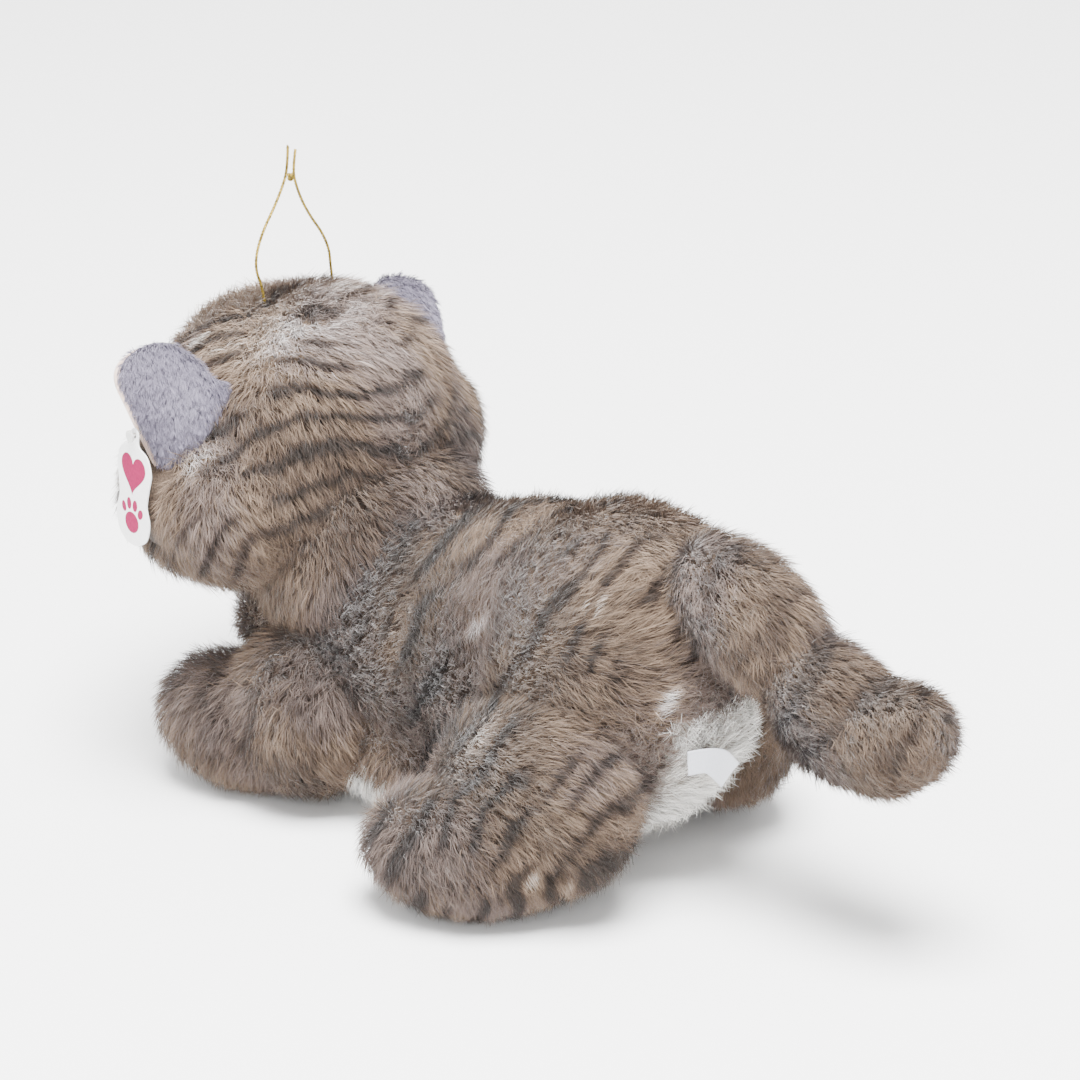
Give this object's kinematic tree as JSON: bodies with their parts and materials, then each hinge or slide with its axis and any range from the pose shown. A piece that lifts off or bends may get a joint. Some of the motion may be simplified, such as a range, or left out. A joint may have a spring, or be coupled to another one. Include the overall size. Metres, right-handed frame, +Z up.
{
  "type": "plush cat",
  "caption": "Stuffed long-pile cat lying on its belly, head and tail raised, with a hanging loop, a hang tag and a sewn-in label.",
  "frame": {"origin": "middle of the flat patch that the belly rests on, in the cat's mid-plane, on the surface it lies on", "axes": "+X to the cat's left, +Y from its head towards its tail, +Z up"},
  "size_m": [0.197, 0.3683, 0.233],
  "materials": {
    "striped_fur": "long pile, taupe with dark brown stripes",
    "white_fur": "long pile, warm white",
    "ear_plush": "short pile, lavender grey",
    "ear_lining": "smooth, peach pink",
    "stuffing": "polyester fibre",
    "eye": "polished, dark",
    "nose": "stitched pad, dusky pink",
    "washer": "natural",
    "gold_thread": "twisted metallic thread",
    "card": "coated white card",
    "clear_nylon": "translucent",
    "satin_ribbon": "woven satin, white"
  },
  "bodies": {
    "torso": {"back_panel": "striped_fur", "belly_panel": "white_fur", "torso_stuffing": "stuffing"},
    "neck": {"neck_cover": "striped_fur", "neck_stuffing": "stuffing"},
    "head": {"head_back_panel": "striped_fur", "face_panel": "striped_fur", "head_stuffing": "stuffing", "muzzle_cover": "white_fur", "muzzle_stuffing": "stuffing", "nose": "nose", "eye_left": "eye", "eye_right": "eye", "eye_washer_left": "washer", "eye_washer_right": "washer", "loop_leg_left": "gold_thread", "loop_leg_right": "gold_thread", "loop_knot": "gold_thread"},
    "ear_left": {"ear_left_back": "ear_plush", "ear_left_lining": "ear_lining", "tag_fastener": "clear_nylon"},
    "ear_right": {"ear_right_back": "ear_plush", "ear_right_lining": "ear_lining"},
    "hang_tag": {"hang_tag": "card"},
    "tail_root": {"tail_root_cover": "striped_fur", "tail_root_stuffing": "stuffing"},
    "tail_tip": {"tail_tip_cover": "striped_fur", "tail_tip_stuffing": "stuffing"},
    "sewn_label": {"sewn_label": "satin_ribbon"},
    "front_leg_left": {"front_leg_left_cover": "striped_fur", "front_leg_left_stuffing": "stuffing"},
    "front_leg_right": {"front_leg_right_cover": "striped_fur", "front_leg_right_stuffing": "stuffing"},
    "rear_leg_left": {"rear_leg_left_cover": "striped_fur", "rear_leg_left_stuffing": "stuffing"},
    "rear_leg_right": {"rear_leg_right_cover": "striped_fur", "rear_leg_right_stuffing": "stuffing"}
  },
  "joints": [
    {"name": "head_turn", "type": "hinge", "parent": "torso", "child": "neck", "pos_m": [0, -0.113, 0.126], "axis": [0, 0, 1], "range_deg": [-15, 15], "stiffness_Nm_per_rad": 0.4},
    {"name": "head_nod", "type": "hinge", "parent": "neck", "child": "head", "pos_m": [0, -0.113, 0.126], "axis": [1, 0, 0], "range_deg": [-12, 12], "stiffness_Nm_per_rad": 0.4},
    {"name": "ear_left_fold", "type": "hinge", "parent": "head", "child": "ear_left", "pos_m": [0.062, -0.1065, 0.1485], "axis": [0.4374, -0.3007, -0.8475], "range_deg": [-20, 10], "stiffness_Nm_per_rad": 0.03},
    {"name": "ear_right_fold", "type": "hinge", "parent": "head", "child": "ear_right", "pos_m": [-0.0605, -0.114, 0.1435], "axis": [0.4184, -0.6695, 0.6137], "range_deg": [-20, 10], "stiffness_Nm_per_rad": 0.03},
    {"name": "tag_swing", "type": "hinge", "parent": "ear_left", "child": "hang_tag", "pos_m": [0.0765, -0.1212, 0.1415], "axis": [0.9707, -0.2402, 0], "range_deg": [-25, 25]},
    {"name": "tail_wag", "type": "hinge", "parent": "torso", "child": "tail_root", "pos_m": [0, 0.085, 0.114], "axis": [0, 0.7071, 0.7071], "range_deg": [-20, 20], "stiffness_Nm_per_rad": 0.4},
    {"name": "tail_curl", "type": "hinge", "parent": "tail_root", "child": "tail_tip", "pos_m": [0, 0.124, 0.091], "axis": [1, 0, 0], "range_deg": [-15, 15], "stiffness_Nm_per_rad": 0.4},
    {"name": "front_leg_left_swing", "type": "hinge", "parent": "torso", "child": "front_leg_left", "pos_m": [0.05, -0.058, 0], "axis": [0, 0, 1], "range_deg": [0, 20], "stiffness_Nm_per_rad": 0.4},
    {"name": "front_leg_right_swing", "type": "hinge", "parent": "torso", "child": "front_leg_right", "pos_m": [-0.05, -0.058, 0], "axis": [0, 0, -1], "range_deg": [0, 20], "stiffness_Nm_per_rad": 0.4},
    {"name": "rear_leg_left_lift", "type": "hinge", "parent": "torso", "child": "rear_leg_left", "pos_m": [0.056, 0, 0.06], "axis": [0, -1, 0], "range_deg": [0, 15], "stiffness_Nm_per_rad": 0.4},
    {"name": "rear_leg_right_lift", "type": "hinge", "parent": "torso", "child": "rear_leg_right", "pos_m": [-0.05, 0, 0.06], "axis": [0, 1, 0], "range_deg": [0, 15], "stiffness_Nm_per_rad": 0.4},
    {"name": "label_flip", "type": "hinge", "parent": "torso", "child": "sewn_label", "pos_m": [0.02615, 0.09756, 0.05512], "axis": [0.4479, -0.3241, -0.8333], "range_deg": [0, 45], "stiffness_Nm_per_rad": 0.002}
  ]
}
